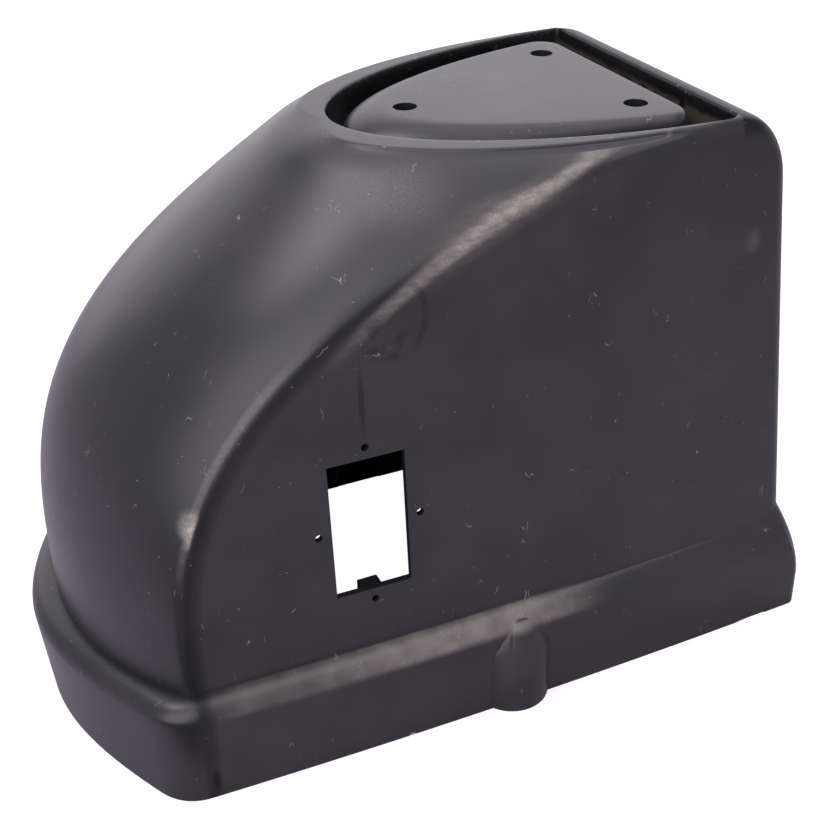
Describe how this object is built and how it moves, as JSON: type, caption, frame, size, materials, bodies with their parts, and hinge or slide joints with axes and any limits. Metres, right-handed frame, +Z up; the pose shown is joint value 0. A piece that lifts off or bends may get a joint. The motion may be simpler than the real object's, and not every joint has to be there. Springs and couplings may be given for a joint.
{
  "type": "engine cover",
  "caption": "Black moulded engine cover with a wedge nose, stepped skirt, side window with screw holes, and a drilled platform set in a moat on top.",
  "frame": {"origin": "centre of the overall box, on the plane that the foot of the skirt stands on", "axes": "+X towards the side with the window, -Y towards the nose, +Z up to the rim"},
  "size_m": [0.2914, 0.4746, 0.338],
  "materials": {
    "moulded_plastic": "matte black moulding, scuffed along the ridges"
  },
  "bodies": {
    "root": {"engine_cover": "moulded_plastic"}
  },
  "joints": []
}
